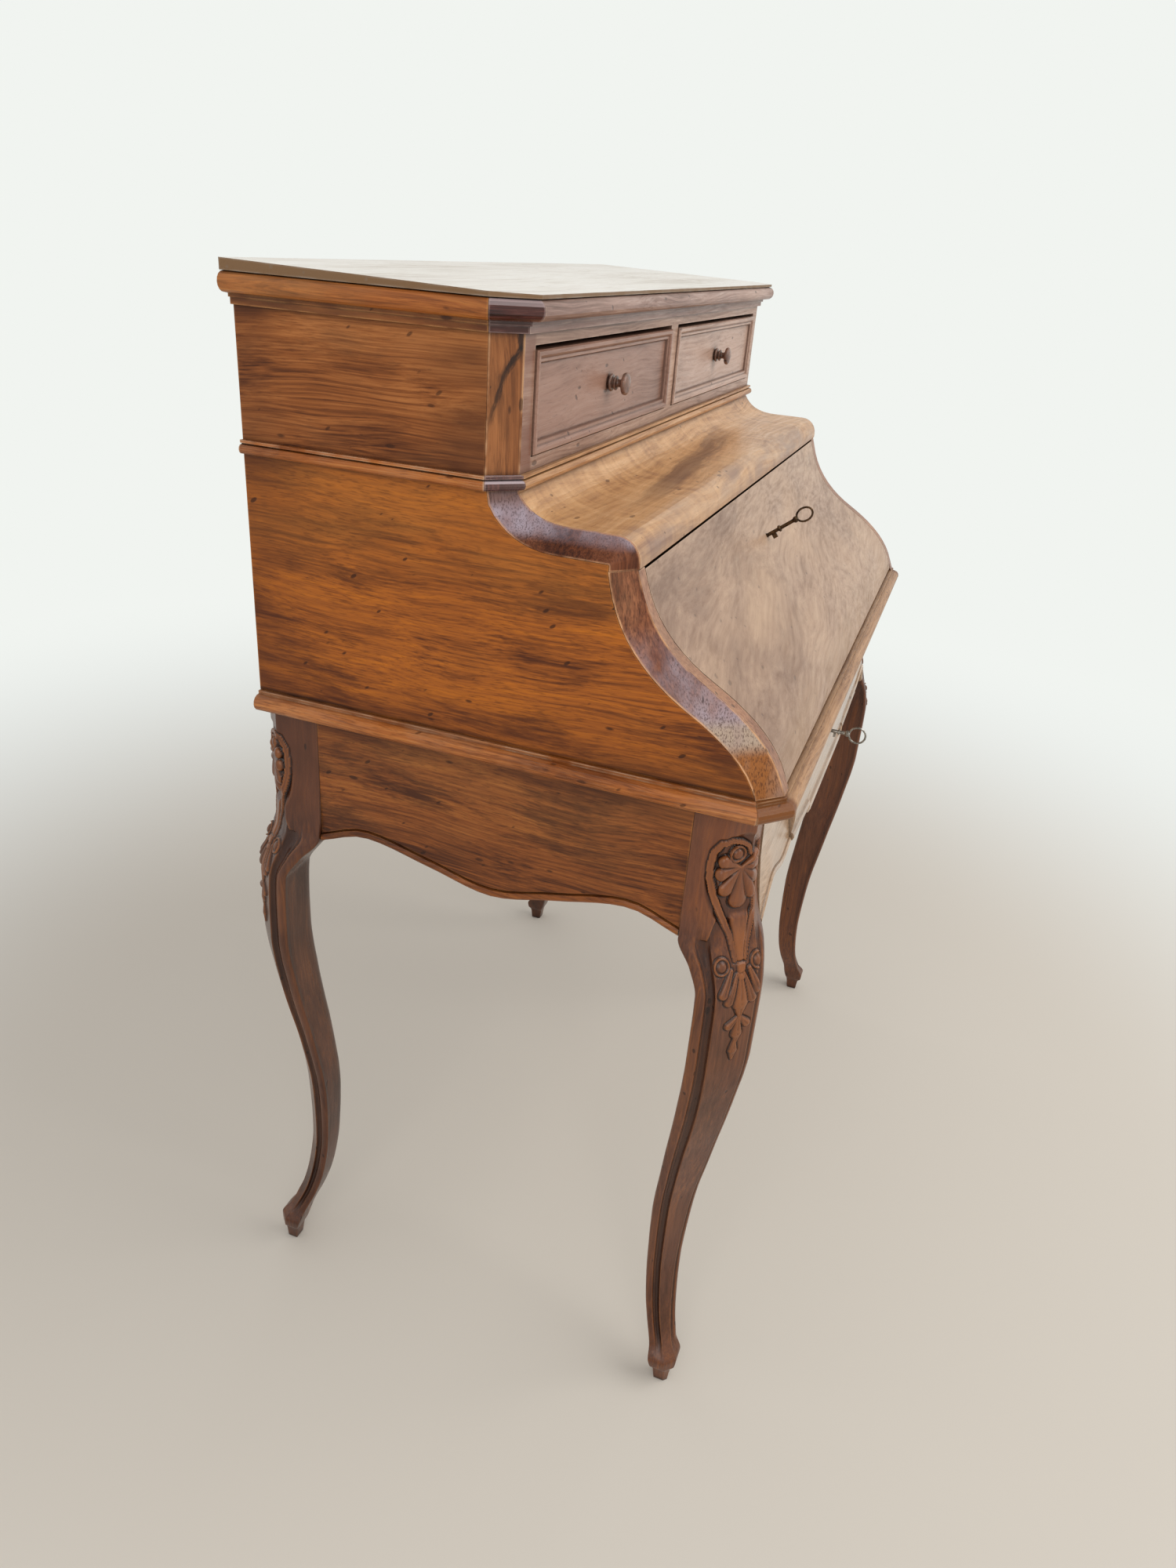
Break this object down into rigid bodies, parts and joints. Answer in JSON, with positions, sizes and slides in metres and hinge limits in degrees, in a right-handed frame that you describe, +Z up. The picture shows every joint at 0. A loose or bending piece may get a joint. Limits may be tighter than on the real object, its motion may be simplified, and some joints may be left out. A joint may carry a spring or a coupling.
{
  "type": "slant-front desk",
  "caption": "Slant-front writing desk on cabriole legs: ogee fall with lock and key, frieze drawer, cove shelf and a low upper case with knobbed drawers.",
  "frame": {"origin": "floor, under the middle of the desk's bounding box", "axes": "+X to the right seen from the front, -Y out of the front, +Z up"},
  "size_m": [0.9, 0.5778, 1.139],
  "materials": {
    "walnut": "waxed satin",
    "faded_walnut": "faded satin",
    "honey_walnut": "waxed satin",
    "stained_walnut": "polished",
    "leg_walnut": "worn wax",
    "bleached_walnut": "dry, sun-bleached",
    "drawer_oak": "bare",
    "bronzed_iron": "bronzed",
    "key_steel": "worn bright"
  },
  "bodies": {
    "desk": {"back_apron": "walnut", "back_panel": "drawer_oak", "base_moulding_front": "honey_walnut", "base_moulding_left": "walnut", "base_moulding_right": "walnut", "bead_corner_left": "stained_walnut", "bead_corner_right": "stained_walnut", "bead_front": "faded_walnut", "bead_left": "walnut", "bead_right": "walnut", "canted_strip_lower_left": "stained_walnut", "canted_strip_lower_right": "stained_walnut", "canted_strip_upper_left": "stained_walnut", "canted_strip_upper_right": "stained_walnut", "case_deck": "drawer_oak", "corner_post_left": "honey_walnut", "corner_post_right": "honey_walnut", "cornice_corner_left": "stained_walnut", "cornice_corner_right": "stained_walnut", "cornice_front": "faded_walnut", "cornice_left": "walnut", "cornice_right": "walnut", "cove_shelf": "honey_walnut", "drawer_runners": "drawer_oak", "fall_pivot_left": "bronzed_iron", "fall_pivot_right": "bronzed_iron", "fall_stile_left": "honey_walnut", "fall_stile_right": "honey_walnut", "front_apron_left": "faded_walnut", "front_apron_right": "faded_walnut", "gradin_floor": "drawer_oak", "gradin_front_frame": "faded_walnut", "gradin_side_left": "walnut", "gradin_side_right": "walnut", "leg_back_left": "leg_walnut", "leg_back_right": "leg_walnut", "leg_front_left": "leg_walnut", "leg_front_right": "leg_walnut", "pigeonhole_shelf": "drawer_oak", "side_apron_left": "walnut", "side_apron_right": "walnut", "side_panel_left": "walnut", "side_panel_right": "walnut", "top_board": "bleached_walnut", "writing_bed": "walnut"},
    "fall": {"fall_front": "honey_walnut", "fall_lock": "bronzed_iron"},
    "fall_bolt": {"fall_bolt": "key_steel"},
    "fall_key": {"fall_key": "bronzed_iron"},
    "drawer_left": {"drawer_front_left": "faded_walnut", "drawer_box_left": "drawer_oak", "knob_left": "leg_walnut"},
    "drawer_right": {"drawer_front_right": "faded_walnut", "drawer_box_right": "drawer_oak", "knob_right": "leg_walnut"},
    "frieze_drawer": {"frieze_drawer_front": "faded_walnut", "frieze_drawer_box": "drawer_oak", "frieze_lock": "bronzed_iron"},
    "frieze_bolt": {"frieze_bolt": "key_steel"},
    "frieze_key": {"frieze_key": "key_steel"}
  },
  "joints": [
    {"name": "fall_hinge", "type": "hinge", "parent": "desk", "child": "fall", "pos_m": [0, -0.24551, 0.783], "axis": [1, 0, 0], "range_deg": [0, 137.8]},
    {"name": "fall_key_turn", "type": "hinge", "parent": "fall", "child": "fall_key", "pos_m": [0, -0.13115, 0.88248], "axis": [0, -0.7892, 0.6141], "range_deg": [0, 180]},
    {"name": "fall_bolt_slide", "type": "slide", "parent": "fall", "child": "fall_bolt", "axis": [0, 0.7418, 0.6706], "range_m": [0, 0.008]},
    {"name": "drawer_left_slide", "type": "slide", "parent": "desk", "child": "drawer_left", "axis": [0, -1, 0], "range_m": [0, 0.16]},
    {"name": "drawer_right_slide", "type": "slide", "parent": "desk", "child": "drawer_right", "axis": [0, -1, 0], "range_m": [0, 0.16]},
    {"name": "frieze_drawer_slide", "type": "slide", "parent": "desk", "child": "frieze_drawer", "axis": [0, -1, 0], "range_m": [0, 0.28]},
    {"name": "frieze_key_turn", "type": "hinge", "parent": "frieze_drawer", "child": "frieze_key", "pos_m": [0, -0.22285, 0.6676], "axis": [0, -1, 0], "range_deg": [0, 180]},
    {"name": "frieze_bolt_slide", "type": "slide", "parent": "frieze_drawer", "child": "frieze_bolt", "axis": [0, 0, 1], "range_m": [0, 0.006]}
  ],
  "couplings": [
    {"joint": "fall_key_turn", "follows": "fall_bolt_slide", "rad_per_m": 392.21},
    {"joint": "frieze_key_turn", "follows": "frieze_bolt_slide", "rad_per_m": 522.73}
  ]
}
